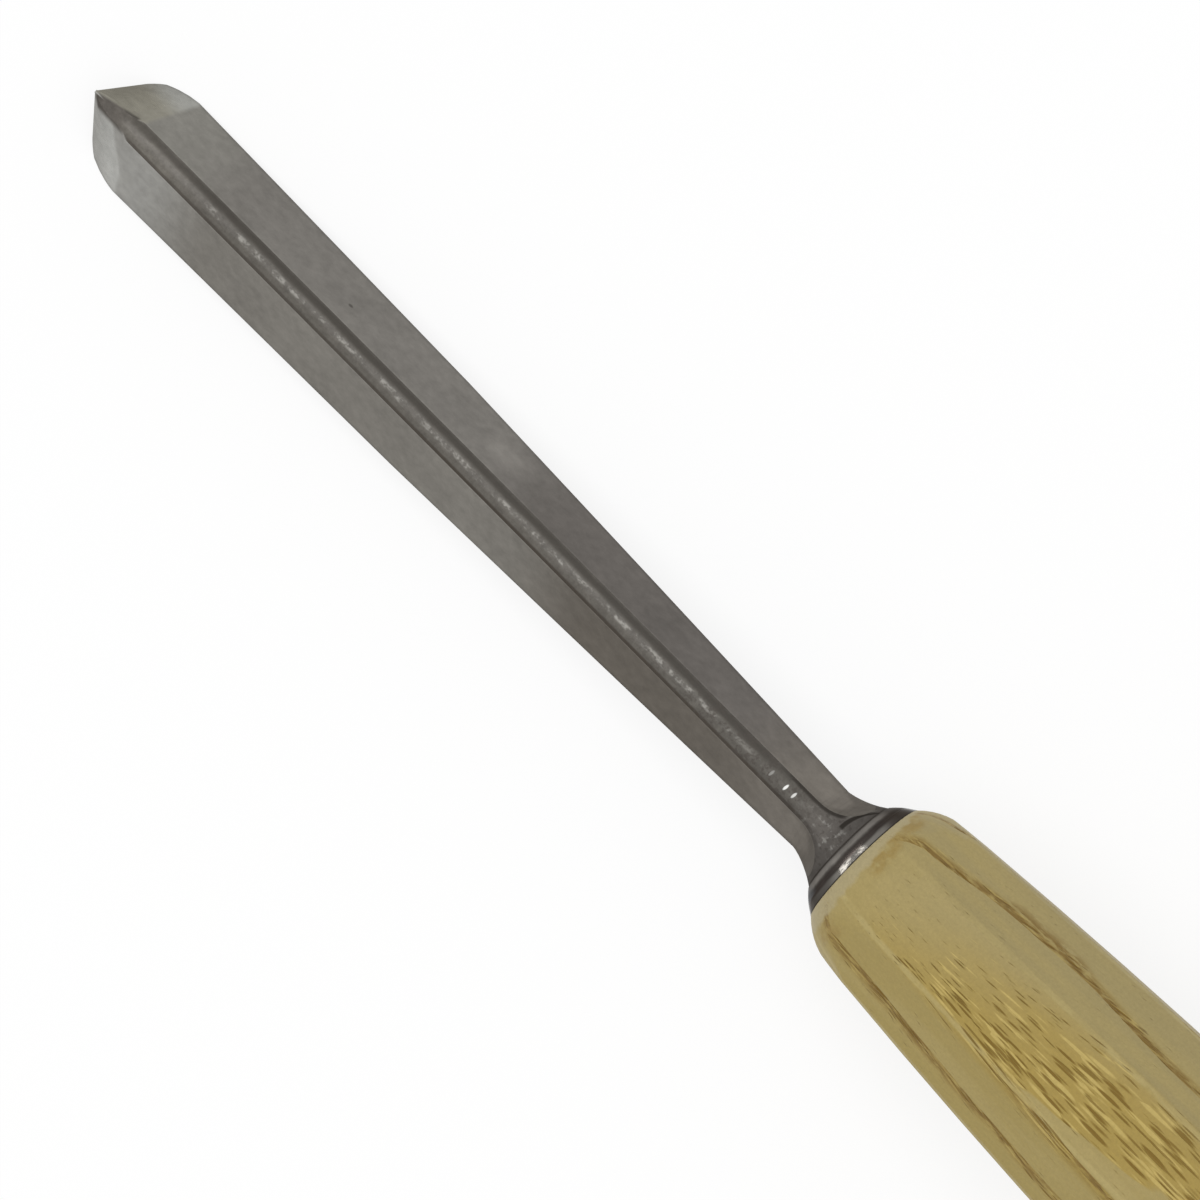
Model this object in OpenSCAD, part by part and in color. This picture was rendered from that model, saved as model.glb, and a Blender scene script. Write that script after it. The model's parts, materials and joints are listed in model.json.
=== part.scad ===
// Carving parting tool: a forged V blade with bolster and tang, a steel ferrule hidden in the
// nose of the handle, and an octagonal ash handle. Lengths are in millimetres, angles in degrees.
// Each piece is drawn about the tool's own axis, with the bolster's seat at X = 0 and the tip at +X,
// and the whole tool is then laid down as it rests on a bench, hollow side down and keel up.

/* [Blade] */
// Length from the bolster's seat to the cutting tip
blade_len = 106.6; // [90:0.1:125]
// Included angle between the two outer flats
v_angle = 60; // [54:1:68]
// Width over the wings, carried forward to the tip
wing_w = 12.3; // [11:0.1:13.5]
// Length of the wings, from the tip to where the narrowing shank takes over
wing_len = 45.5; // [35:0.5:55]
// Slope of the rims against the tool's axis
rim_slope = 1.4; // [0.8:0.1:1.8]
// Width over the shank just ahead of the bolster
shank_w = 7.6; // [7.4:0.1:8.4]
// Height of the keel's crown above the tool's axis, about which the crown is round
keel_h = 3.72; // [3.5:0.01:3.8]
// Width of the forged band along the keel
keel_band = 2.6; // [2.2:0.1:3]

/* [Groove] */
// Length of the groove, from the tip to where its root runs out
groove_len = 78; // [60:1:88]
// Metal between the groove's root and the keel's crown at the tip
keel_t = 1.5; // [1.3:0.1:2]
// Width of the flat land along each rim at the tip
rim_land = 1.4; // [1.1:0.1:1.9]
// Width of the rounded root of the groove
root_w = 0.4; // [0.3:0.05:0.7]

/* [Cutting edge] */
// Rake of the cutting edge in side view, with the keel leading
edge_rake = 17.8; // [8:0.1:24]
// Length of the bevel along the rim
bevel_len = 4.4; // [3.4:0.1:5]
// Radius of the slightly rounded bevels
bevel_round = 11; // [9:0.5:20]
// Angle of the bevel under the keel
keel_bevel = 17; // [13:0.5:22]
// Radius of the rounded corners of the wings, seen from above
corner_r = 4.6; // [3:0.1:6]

/* [Bolster] */
// Diameter of the bolster at its seat
bolster_d = 14.5; // [13.8:0.1:15.4]
// Diameter at the front of the polished collar
collar_d = 11.1; // [10.4:0.1:11.8]
// Length of the polished collar along the axis
collar_len = 2.05; // [1.6:0.05:2.5]
// Step at the front of the collar
collar_step = 0.1; // [0.06:0.01:0.2]
// Radius of the collar's bulge in section
collar_bow = 8; // [4:0.5:14]
// Radius of the forged flare between shank and collar
flare_r = 9; // [7:0.1:11]
// Radius of the wheel that leaves a scallop at the end of each ground flat
scallop_r = 5.5; // [4.8:0.1:5.8]
// Distance from the seat at which the scallops rise out of the flats
scallop_x = 7.1; // [6.9:0.1:8.4]

/* [Tang] */
// Length of the tang behind the seat
tang_len = 65; // [45:1:85]
// Width of the square tang at the seat
tang_w = 6.2; // [5.4:0.1:6.6]
// Width of the square tang at its end
tang_end = 3.6; // [2.6:0.1:4.6]

/* [Ferrule] */
// Outside diameter of the hidden ferrule
ferrule_d = 12; // [11.6:0.1:12.6]
// Wall of the ferrule
ferrule_wall = 1; // [0.7:0.05:1.2]
// Length of the ferrule
ferrule_len = 10; // [7:0.5:16]
// Bevel that leads the ferrule into its groove
ferrule_lead = 0.4; // [0.2:0.05:0.5]

/* [Handle] */
// Length of the handle
handle_len = 125; // [110:1:140]
// Width across flats at the belly
handle_w = 24.3; // [23:0.1:26]
// Distance of the belly behind the bolster
handle_belly = 73.4; // [65:0.1:82]
// Lengthwise radius of the facets
facet_r = 800; // [650:5:950]
// Depth by which the ridges between facets are eased
ridge_ease = 0.15; // [0.1:0.05:0.5]
// Slope of the turned nose where it meets the bolster
nose_slope = 45; // [40:1:50]
// Slope of the turned nose where it runs into the facets
shoulder_slope = 14; // [10:1:20]
// Radius of the nose between the two slopes
nose_r = 7; // [5:0.5:8]
// Diameter of the flat on the butt
butt_flat = 10; // [8:0.5:12]
// Radius of the rounded butt
butt_r = 7.5; // [7.5:0.1:9]

/* [Fits] */
// Gap on each side of the tang in its hole
tang_gap = 0.05; // [0.02:0.01:0.2]
// Depth of the hole beyond the end of the tang
tang_end_gap = 0.5; // [0.2:0.1:3]
// Gap all round the ferrule in its groove
ferrule_gap = 0.03; // [0.01:0.01:0.1]
// Gap between the bolster and the handle's front face
seat_gap = 0.02; // [0.01:0.01:0.1]

/* [Hidden] */
$fn = 96;
// Facets of the very large circles when drawn
fine = 2880;
// Length by which a cutter or a joined solid runs past what it meets
over = 3;
// Side of a block that stands for everything beyond a plane
block = 60;
// Depth by which the ground flats pass under the faces they continue
skin = 0.02;
// Height of the rounded root as a share of its width
root_share = 0.19;
// Share of a crown's rise from which it is drawn as a curve
crown_foot = 0.3;

half_v = v_angle / 2;
keel_crown = keel_h - sqrt(pow(keel_h, 2) - pow(keel_band / 2, 2));
apex_z = keel_h - keel_crown + keel_band / 2 / tan(half_v);
rim_z = apex_z - wing_w / 2 / tan(half_v);
rim_t = tan(rim_slope);

// The belly of the shank is a cone through the end of the wings and the narrow neck
wing_x = blade_len - wing_len;
wing_z = rim_z + rim_t * wing_len;
wing_r = norm([(apex_z - wing_z) * tan(half_v), wing_z]);
neck_r = norm([shank_w / 2, apex_z - shank_w / 2 / tan(half_v)]);
body_x = collar_len / 4;

// The groove is swept on a large arc that leaves the tip level and runs out through the rims
groove_top = keel_h - keel_t;
root_rise = root_w * root_share;
half_in = atan((wing_w / 2 - rim_land - root_w / 2) / (groove_top - root_rise - rim_z));
groove_z = groove_top - root_rise + root_w / 2 / tan(half_in);
groove_fall = groove_z - rim_z - rim_t * groove_len;
groove_r = (groove_len * groove_len + groove_fall * groove_fall) / 2 / groove_fall;
groove_depth = groove_z - rim_z + over;
groove_turn = 2 * asin(groove_len / groove_r);
groove_lead = asin(2 * over / groove_r);

// The cutting edge runs down the groove's wall, and the bevel joins it to the outer flat
rake_t = tan(edge_rake);
edge_dir = [-rake_t, tan(half_in), -1];
corner_z = (rim_z + rim_t * rake_t * groove_z) / (1 + rim_t * rake_t);
corner_x = blade_len - rake_t * (groove_z - corner_z);
heel_z = corner_z + rim_t * bevel_len;
bevel_dir = [
  -bevel_len,
  (apex_z - heel_z) * tan(half_v) - (groove_z - corner_z) * tan(half_in),
  heel_z - corner_z
];
bevel_n = cross(edge_dir, bevel_dir);
tip = [blade_len, 0, groove_z];
edge_u = edge_dir / norm(edge_dir);
bevel_across = bevel_dir - (bevel_dir * edge_u) * edge_u;
bevel_mid = tip + bevel_across / 2 + skin * bevel_across / norm(bevel_across);
bevel_back = sqrt(pow(bevel_round, 2) - pow(norm(bevel_across) / 2, 2));

// Seen from above, each wing's corner is rounded from the cutting edge to the bevel's run along the rim
corner = [corner_x, (groove_z - corner_z) * tan(half_in)];
edge_plan = [edge_dir.x, edge_dir.y] / norm([edge_dir.x, edge_dir.y]);
edge_n = bevel_back * bevel_n / norm(bevel_n) - bevel_across / 2;
rim_dir = cross([rim_t, 0, 1], edge_n);
rim_plan = [rim_dir.x, rim_dir.y] / norm([rim_dir.x, rim_dir.y]);
corner_reach = corner_r * tan(acos(edge_plan * rim_plan) / 2);
corner_c = corner - corner_reach * edge_plan + (corner_r - skin) * [-edge_plan.y, edge_plan.x];

// The flare is an arc that starts level on the core and ends at the collar's step
core_r = keel_h - skin;
flare_top = collar_d / 2 - collar_step;
flare_x = collar_len + sqrt(pow(flare_r, 2) - pow(core_r + flare_r - flare_top, 2));
neck_x = flare_x;
collar_chord = [bolster_d / 2 - collar_d / 2, collar_len];
collar_back = sqrt(pow(collar_bow, 2) - pow(norm(collar_chord) / 2, 2)) / norm(collar_chord);
collar_c = [
  (bolster_d + collar_d) / 4 - collar_chord.y * collar_back,
  collar_len / 2 - collar_chord.x * collar_back
];
under_z = rim_z + rim_t * (blade_len - flare_x);
under_x = collar_len + sqrt(pow(flare_r, 2) - pow(flare_r - flare_top - under_z, 2));

// The handle is an octagon whose flats are arcs of one large radius
facet_turn = 45;
corner_share = cos(facet_turn / 2);
ridge_arc = facet_r * corner_share;
ridge_r = handle_w / 2 / corner_share - ridge_ease;
facet_off = facet_r - handle_w / 2;
nose_reach = nose_r * tan((nose_slope - shoulder_slope) / 2);
nose_in = nose_reach * [sin(nose_slope), -cos(nose_slope)];
nose_out = nose_reach * [sin(shoulder_slope), -cos(shoulder_slope)];
nose_corner = [bolster_d / 2, -seat_gap] + (1 + skin) * nose_in;
shoulder_x = nose_corner.y - (handle_w - nose_corner.x) / tan(shoulder_slope);

// Rest on the bench: on the two corners of the cutting edge and on one arc of the handle
lean_x = corner_x + handle_belly;
lean_z = facet_off - corner_z;
tilt = atan(lean_x / lean_z) - acos(facet_r / norm([lean_x, lean_z]));
lift = corner_x * sin(tilt) - corner_z * cos(tilt);
front_x = blade_len * cos(tilt) + groove_top * sin(tilt);
back_x = -handle_len * cos(tilt) - butt_flat / 2 * sin(tilt);

module in_rest() {
  translate([-(front_x + back_x) / 2, 0, lift])
    rotate([0, tilt, 0])
      children();
}

// A section drawn as Y, Z and run along the axis
module along_axis(from, length) {
  translate([from, 0, 0])
    rotate([90, 0, 90])
      linear_extrude(length)
        children();
}

// A side view drawn as X, Z and given a width
module side_view(width) {
  rotate([90, 0, 0])
    linear_extrude(width, center = true)
      children();
}

// A half section drawn as radius, X and turned about the axis
module turned() {
  rotate([0, 90, 0])
    rotate_extrude()
      children();
}

// Turns what is drawn along Z to run along a direction from a point
module aim(point, direction) {
  translate(point)
    rotate([0, acos(direction.z / norm(direction)), atan2(direction.y, direction.x)])
      children();
}

// Everything beyond the plane through a point, on the side that the normal points to
module beyond(point, normal) {
  aim(point, normal)
    translate([-block / 2, -block / 2, 0])
      cube(block);
}

// A wedge that points up, with its point cut to a low crown
module crowned_wedge(apex, half, depth, band, crown) {
  edge = apex - band / 2 / tan(half);
  crown_r = (pow(band / 2, 2) + pow(crown, 2)) / 2 / crown;
  foot = edge - crown * crown_foot;
  difference() {
    polygon([[0, apex], [-depth * tan(half), apex - depth], [depth * tan(half), apex - depth]]);
    difference() {
      translate([-band, foot])
        square([2 * band, apex - foot + over]);
      translate([0, edge + crown - crown_r])
        circle(crown_r);
    }
  }
}

// The narrowing round belly that trims the flats behind the wings
module belly() {
  growth = (wing_r - neck_r) / (wing_x - neck_x);
  length = blade_len + over - body_x;
  r_back = neck_r - growth * (neck_x - body_x);
  translate([body_x, 0, 0])
    rotate([0, 90, 0])
      cylinder(h = length, r1 = r_back, r2 = r_back + growth * length);
}

// What lies above the sloping plane of the two rims
module above_rims() {
  x_end = blade_len + over;
  side_view(2 * wing_w)
    polygon([
      [body_x, rim_z + rim_t * (blade_len - body_x)],
      [x_end, rim_z - rim_t * over],
      [x_end, apex_z],
      [body_x, apex_z]
    ]);
}

// The hollow of the V, left by a wheel with a V rim
module groove() {
  translate([blade_len, 0, groove_z - groove_r])
    rotate([90, 0, 0])
      rotate_extrude(angle = groove_turn, start = 90 - groove_lead, $fn = fine)
        rotate(-90)
          crowned_wedge(groove_r, half_in, groove_depth, root_w, root_rise);
}

// What is ground off one flat, leaving a bevel that is slightly round across
module flat_bevel() {
  difference() {
    beyond(tip, bevel_n);
    aim(bevel_mid - bevel_back * bevel_n / norm(bevel_n), edge_dir)
      cylinder(h = block, r = bevel_round, center = true);
  }
}

// What is taken off the corner of one wing to round it
module wing_corner() {
  translate([0, 0, rim_z - over])
    linear_extrude(apex_z - rim_z + over)
      difference() {
        polygon([
          corner - corner_reach * edge_plan,
          corner + over * (edge_plan - rim_plan),
          corner + corner_reach * rim_plan
        ]);
        translate(corner_c)
          circle(corner_r);
      }
}

// What is ground off one wing
module wing_grind() {
  flat_bevel();
  wing_corner();
}

// The bevels ground on the two flats and under the keel
module bevels() {
  wing_grind();
  mirror([0, 1, 0])
    wing_grind();
  beyond([blade_len, 0, groove_top], [tan(keel_bevel), 0, 1]);
}

// The V with its shank
module v_blade() {
  difference() {
    intersection() {
      along_axis(body_x, blade_len - body_x)
        crowned_wedge(apex_z, half_v, apex_z - rim_z + over, keel_band, keel_crown);
      belly();
      above_rims();
    }
    groove();
    bevels();
  }
}

// Half section of the flare and the collar
module bolster_section() {
  intersection() {
    translate(collar_c)
      circle(collar_bow);
    square([bolster_d / 2, collar_len]);
  }
  difference() {
    square([flare_top, flare_x]);
    translate([core_r + flare_r, flare_x])
      circle(flare_r);
  }
  square([core_r, flare_x + over]);
}

// Path of the wheel that ground one flat, ending in a scallop against the bolster
module flat_grind() {
  translate([0, 0, apex_z])
    rotate([half_v - 90, 0, 0])
      side_view(block)
        translate([scallop_x, -skin]) {
          translate([0, scallop_r])
            circle(scallop_r);
          square([flare_x + over, bolster_d]);
        }
}

// Path of the wheel along the underside, ending in a cove against the collar
module under_grind() {
  side_view(2 * bolster_d)
    translate([under_x, rim_z + rim_t * (blade_len - under_x) + skin])
      rotate(-rim_slope) {
        translate([0, -flare_r])
          circle(flare_r);
        translate([0, -bolster_d])
          square([flare_x + over, bolster_d]);
      }
}

// The round bolster, with the ground flats run out into it
module bolster() {
  difference() {
    turned()
      bolster_section();
    flat_grind();
    mirror([0, 1, 0])
      flat_grind();
    under_grind();
  }
}

// A square taper behind the seat: gap is added on every side and reach at the end
module square_taper(front, gap, reach) {
  fall = (tang_w - tang_end) / 2 / tang_len;
  back = tang_len + reach;
  w_front = tang_w / 2 + gap;
  w_back = tang_w / 2 - fall * back + gap;
  intersection_for (turn = [0, 90])
    rotate([turn, 0, 0])
      side_view(2 * tang_w)
        polygon([
          [front, -w_front],
          [front, w_front],
          [0, w_front],
          [-back, w_back],
          [-back, -w_back],
          [0, -w_front]
        ]);
}

// A ring behind the seat with its rear edges bevelled: gap is added all round
module ferrule_ring(front, gap) {
  r_out = ferrule_d / 2 + gap;
  r_in = ferrule_d / 2 - ferrule_wall - gap;
  back = -seat_gap - ferrule_len - gap;
  turned()
    polygon([
      [r_in, front],
      [r_out, front],
      [r_out, back + ferrule_lead],
      [r_out - ferrule_lead, back],
      [r_in, back]
    ]);
}

// What lies between two opposite facets of the handle, the pair turned about the axis
module facet_pair(turn) {
  rotate([turn, 0, 0])
    side_view(2 * handle_w)
      intersection() {
        translate([-handle_belly, -facet_off])
          circle(facet_r, $fn = fine);
        translate([-handle_belly, facet_off])
          circle(facet_r, $fn = fine);
        translate([-handle_len - over, -handle_w])
          square([handle_len + 2 * over, 2 * handle_w]);
      }
}

// Half section of what a lathe leaves of the handle: nose, eased ridges and butt
module handle_section() {
  round_at = nose_corner - nose_in - nose_r * [cos(nose_slope), sin(nose_slope)];
  intersection() {
    difference() {
      polygon([
        [0, -seat_gap],
        [bolster_d / 2, -seat_gap],
        nose_corner,
        [handle_w, shoulder_x],
        [handle_w, -handle_len],
        [0, -handle_len]
      ]);
      difference() {
        polygon([nose_corner - nose_in, nose_corner + [nose_reach, nose_reach], nose_corner + nose_out]);
        translate(round_at)
          circle(nose_r);
      }
      difference() {
        translate([butt_flat / 2, -handle_len - over])
          square([handle_w, butt_r + over]);
        translate([butt_flat / 2, -handle_len + butt_r])
          circle(butt_r);
      }
    }
    translate([ridge_r - ridge_arc, -handle_belly])
      circle(ridge_arc, $fn = fine);
  }
}

module blade() {
  color([0.45, 0.44, 0.42]) {
    v_blade();
    bolster();
    square_taper(body_x, 0, 0);
  }
}

module ferrule() {
  color([0.5, 0.5, 0.5])
    ferrule_ring(-seat_gap, 0);
}

module handle() {
  color([0.66, 0.58, 0.38])
    difference() {
      intersection() {
        turned()
          handle_section();
        facet_pair(0);
        facet_pair(facet_turn);
        facet_pair(2 * facet_turn);
        facet_pair(3 * facet_turn);
      }
      square_taper(over, tang_gap, tang_end_gap);
      ferrule_ring(over, ferrule_gap);
    }
}

in_rest() blade();
in_rest() ferrule();
in_rest() handle();
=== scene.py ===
"""Looks of a carving parting tool: forged V blade, hidden ferrule and octagonal ash handle.

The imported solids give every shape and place. This script dresses them, lays them on a pale
floor in soft light and sets a camera at the angle of the photograph.
"""
from __future__ import annotations

import json
import logging
import math
from dataclasses import dataclass
from enum import Enum
from typing import Any, Mapping, Sequence, Union

import bpy
from mathutils import Matrix, Vector


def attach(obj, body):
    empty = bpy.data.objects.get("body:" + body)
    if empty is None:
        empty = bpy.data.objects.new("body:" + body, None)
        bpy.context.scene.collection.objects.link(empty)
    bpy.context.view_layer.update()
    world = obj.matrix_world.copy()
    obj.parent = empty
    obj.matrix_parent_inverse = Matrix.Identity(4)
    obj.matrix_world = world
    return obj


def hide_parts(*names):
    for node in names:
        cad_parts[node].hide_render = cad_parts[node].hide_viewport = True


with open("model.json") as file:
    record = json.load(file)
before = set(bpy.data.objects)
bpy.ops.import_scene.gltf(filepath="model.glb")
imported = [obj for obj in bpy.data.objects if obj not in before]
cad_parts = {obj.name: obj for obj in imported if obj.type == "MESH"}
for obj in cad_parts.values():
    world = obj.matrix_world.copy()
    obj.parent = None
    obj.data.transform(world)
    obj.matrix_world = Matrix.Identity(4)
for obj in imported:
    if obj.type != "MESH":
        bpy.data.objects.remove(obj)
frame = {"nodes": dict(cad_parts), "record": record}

LOG = logging.getLogger("parting_tool")
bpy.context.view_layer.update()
MM = 0.001
WELD = 1e-6
WHITE = (1.0, 1.0, 1.0, 1.0)
NOISE_MIDDLE = 0.5
MIX_FACTOR, MIX_LOW, MIX_HIGH, MIX_RESULT = 0, 6, 7, 2

Colour = tuple[float, float, float]
Input = Union["Term", float, Sequence[float]]


def srgb(red: float, green: float, blue_reflection: float) -> Colour:
    """A colour of 0 to 255 as linear light.

    Args:
        red: Red, 0 to 255.
        green: Green, 0 to 255.
        blue_reflection: Blue, 0 to 255.

    Returns:
        The three linear values, 0 to 1.
    """
    def linear(value: float) -> float:
        """One channel as linear light."""
        share = value / 255
        return share / 12.92 if share <= 0.04045 else ((share + 0.055) / 1.055) ** 2.4

    return linear(red), linear(green), linear(blue_reflection)


@dataclass(frozen=True)
class Step:
    """A smooth step: the values at which it starts and ends, and what it goes from and to."""

    low: float
    high: float
    start: float = 0.0
    end: float = 1.0


@dataclass(frozen=True)
class Fall(Step):
    """A smooth step from 1 down to 0."""

    start: float = 1.0
    end: float = 0.0


@dataclass(frozen=True)
class Band:
    """A band with soft edges: its middle, half of its width and the width of each edge."""

    centre: float
    half: float
    soft: float


@dataclass(frozen=True)
class Noise:
    """Soft noise on the tool.

    scale is in blobs per millimetre, detail is the number of finer layers and rough their
    strength. along and across are what a millimetre along the tool and across it counts for.
    With a layer, the pattern is one level of the noise, the same at every height.
    """

    scale: float
    detail: float = 2.0
    rough: float = 0.5
    along: float = 1.0
    across: float = 1.0
    layer: float | None = None

    @property
    def even(self) -> bool:
        """Whether the pattern is neither drawn out nor one level."""
        return self.along == 1.0 and self.across == 1.0 and self.layer is None


class Op(Enum):
    """What a Math node works out."""

    ADD = "ADD"
    SUBTRACT = "SUBTRACT"
    MULTIPLY = "MULTIPLY"
    DIVIDE = "DIVIDE"
    POWER = "POWER"
    ABSOLUTE = "ABSOLUTE"
    MINIMUM = "MINIMUM"
    MAXIMUM = "MAXIMUM"
    FRACT = "FRACT"


class Term:
    """A socket of a node tree that Python's operators work on, each adding a Math node."""

    def __init__(self, graph: "Graph", socket: bpy.types.NodeSocket) -> None:
        """Wraps one output socket.

        Args:
            graph: The tree that new nodes go into.
            socket: The output that this term stands for.
        """
        self.graph = graph
        self.socket = socket

    def math(self, operation: Op, *others: Input, first: bool = True) -> "Term":
        """This value in a Math node.

        Args:
            operation: The node's operation.
            others: The node's other inputs.
            first: Whether this value is the node's first input.

        Returns:
            The node's output.
        """
        values = [self, *others] if first else [*others, self]
        settings = {"operation": operation.value}
        return self.graph.node("ShaderNodeMath", settings, dict(enumerate(values)))

    def __add__(self, other: Input) -> "Term":
        """Sum."""
        return self.math(Op.ADD, other)

    __radd__ = __add__

    def __sub__(self, other: Input) -> "Term":
        """Difference."""
        return self.math(Op.SUBTRACT, other)

    def __rsub__(self, other: Input) -> "Term":
        """Difference, taken from a number."""
        return self.math(Op.SUBTRACT, other, first=False)

    def __mul__(self, other: Input) -> "Term":
        """Product."""
        return self.math(Op.MULTIPLY, other)

    __rmul__ = __mul__

    def __truediv__(self, other: Input) -> "Term":
        """Quotient."""
        return self.math(Op.DIVIDE, other)

    def __rtruediv__(self, other: Input) -> "Term":
        """Quotient of a number."""
        return self.math(Op.DIVIDE, other, first=False)

    def __abs__(self) -> "Term":
        """The value without its sign."""
        return self.math(Op.ABSOLUTE)

    def __pow__(self, other: Input) -> "Term":
        """Power."""
        return self.math(Op.POWER, other)

    def least(self, other: Input) -> "Term":
        """The smaller of two values."""
        return self.math(Op.MINIMUM, other)

    def most(self, other: Input) -> "Term":
        """The larger of two values."""
        return self.math(Op.MAXIMUM, other)

    def rise(self, step: Step) -> "Term":
        """A smooth step of this value.

        Args:
            step: Where the step lies and what it goes from and to.

        Returns:
            The stepped value.
        """
        sockets = {
            "Value": self,
            "From Min": step.low,
            "From Max": step.high,
            "To Min": step.start,
            "To Max": step.end,
        }
        return self.graph.node("ShaderNodeMapRange", {"interpolation_type": "SMOOTHSTEP"}, sockets)

    def hump(self, band: Band) -> "Term":
        """1 inside a band of this value and 0 outside."""
        return abs(self - band.centre).rise(Fall(band.half, band.half + band.soft))

    def chance(self) -> "Term":
        """A random value of 0 to 1 for each cell, where this term is a distance in cells."""
        colour = Term(self.graph, self.socket.node.outputs["Color"])
        return self.graph.node("ShaderNodeSeparateColor", None, {0: colour}, "Red")


class Graph:
    """A node tree under construction."""

    def __init__(self, tree: bpy.types.NodeTree) -> None:
        """Empties a tree.

        Args:
            tree: The tree to build in.
        """
        self.tree = tree
        tree.nodes.clear()

    def node(
        self,
        kind: str,
        settings: Mapping[str, Any] | None = None,
        sockets: Mapping[Any, Input] | None = None,
        out: int | str = 0,
    ) -> Term:
        """Adds one node.

        Args:
            kind: The node's type.
            settings: Properties that are set first.
            sockets: Values or links of its inputs, by name or number.
            out: The output that is wanted.

        Returns:
            That output.
        """
        made = self.tree.nodes.new(kind)
        for name, value in (settings or {}).items():
            setattr(made, name, value)
        for name, value in (sockets or {}).items():
            if isinstance(value, Term):
                self.tree.links.new(value.socket, made.inputs[name])
            else:
                made.inputs[name].default_value = value
        socket = made.outputs[out] if made.outputs else None
        return Term(self, socket)

    def mix(self, factor: Input, low: Input, high: Input) -> Term:
        """Mixes two colours.

        Args:
            factor: Share of the second colour.
            low: First colour, linear, or a link.
            high: Second colour, linear, or a link.

        Returns:
            The mixed colour.
        """
        def full(colour: Input) -> Input:
            """A plain colour with its alpha."""
            return colour if isinstance(colour, Term) else (*colour, 1.0)

        settings = {"data_type": "RGBA", "blend_type": "MIX"}
        sockets = {MIX_FACTOR: factor, MIX_LOW: full(low), MIX_HIGH: full(high)}
        return self.node("ShaderNodeMix", settings, sockets, MIX_RESULT)

    def tint(self, colour: Input, factor: Input) -> Term:
        """Makes a colour lighter or darker.

        Args:
            colour: The colour.
            factor: What each channel is multiplied by.

        Returns:
            The scaled colour.
        """
        sockets = {0: colour, "Scale": factor}
        return self.node("ShaderNodeVectorMath", {"operation": "SCALE"}, sockets)

    def vector(self, x: Input, y: Input, z: Input) -> Term:
        """A vector from three values."""
        return self.node("ShaderNodeCombineXYZ", None, {0: x, 1: y, 2: z})

    def noise(self, where: Term, noise: Noise) -> Term:
        """Soft noise in space.

        Args:
            where: Place in the pattern.
            noise: The pattern.

        Returns:
            Noise of about 0.2 to 0.8 round a half.
        """
        sockets = {
            "Vector": where,
            "Scale": noise.scale,
            "Detail": noise.detail,
            "Roughness": noise.rough,
        }
        return self.node("ShaderNodeTexNoise", {"noise_dimensions": "3D"}, sockets, 0)

    def cells(self, where: Term) -> Term:
        """Cells scattered in space, about one per unit.

        Args:
            where: Place in the pattern.

        Returns:
            Distance from the nearest cell's middle, in cells.
        """
        settings = {"voronoi_dimensions": "3D", "feature": "F1"}
        sockets = {"Vector": where, "Scale": 1.0}
        return self.node("ShaderNodeTexVoronoi", settings, sockets, "Distance")

    def bump(self, height: Term) -> Term:
        """The normal of a surface that stands out by a height in millimetres."""
        sockets = {"Strength": 1.0, "Distance": MM, "Height": height}
        return self.node("ShaderNodeBump", None, sockets)


@dataclass(frozen=True)
class Spot:
    """A place on the tool in a shader, in the tool's own millimetres."""

    own: Term
    x: Term
    y: Term
    z: Term

    def noise(self, noise: Noise) -> Term:
        """Noise at this place.

        Args:
            noise: The pattern.

        Returns:
            Noise of about 0.2 to 0.8 round a half.
        """
        def counted(value: Term, factor: float) -> Term:
            """A coordinate as it counts in the pattern."""
            return value if factor == 1.0 else value * factor

        graph = self.own.graph
        if noise.even:
            return graph.noise(self.own, noise)
        height = counted(self.z, noise.across) if noise.layer is None else noise.layer
        x, y = counted(self.x, noise.along), counted(self.y, noise.across)
        return graph.noise(graph.vector(x, y, height), noise)

    def swing(self, noise: Noise) -> Term:
        """Noise at this place, about 0.3 to each side of zero."""
        return self.noise(noise) - NOISE_MIDDLE


@dataclass(frozen=True)
class Bench:
    """How the tool lies: its own axis starts at the bolster's seat and dips to the tip."""

    handle_len: float = 125.0

    @property
    def _butt(self) -> Mapping[str, Any]:
        """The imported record's mount on the butt."""
        return frame["record"]["mounts"][0]

    @property
    def dip(self) -> float:
        """Angle by which the axis dips towards the tip."""
        return math.asin(self._butt["axis"][2])

    @property
    def seat(self) -> Vector:
        """Place of the bolster's seat in the frame, in millimetres."""
        return Vector(self._butt["pos_m"]) / MM - self.handle_len * Vector(self._butt["axis"])

    def matrix(self) -> Matrix:
        """Takes the tool's own millimetres to the frame's metres."""
        turn = Matrix.Rotation(self.dip, 4, "Y")
        return Matrix.Scale(MM, 4) @ Matrix.Translation(self.seat) @ turn

    def place(self, point: Sequence[float]) -> Vector:
        """A point of the tool in the frame.

        Args:
            point: Place along the axis from the seat, to the left and up, in millimetres.

        Returns:
            The place in the frame, in metres.
        """
        return self.matrix() @ Vector(point)

    def spot(self, graph: Graph) -> Spot:
        """The tool's own millimetres in a shader.

        Args:
            graph: The tree to build in.

        Returns:
            The place on the surface.
        """
        where = graph.node("ShaderNodeTexCoord", None, None, "Object")
        sockets = {
            "Vector": where,
            "Location": tuple(v * MM for v in self.seat),
            "Rotation": (0.0, self.dip, 0.0),
            "Scale": (MM, MM, MM),
        }
        own = graph.node("ShaderNodeMapping", {"vector_type": "TEXTURE"}, sockets)
        split = (graph.node("ShaderNodeSeparateXYZ", None, {0: own}, axis) for axis in "XYZ")
        return Spot(own, *split)


BENCH = Bench()


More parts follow.
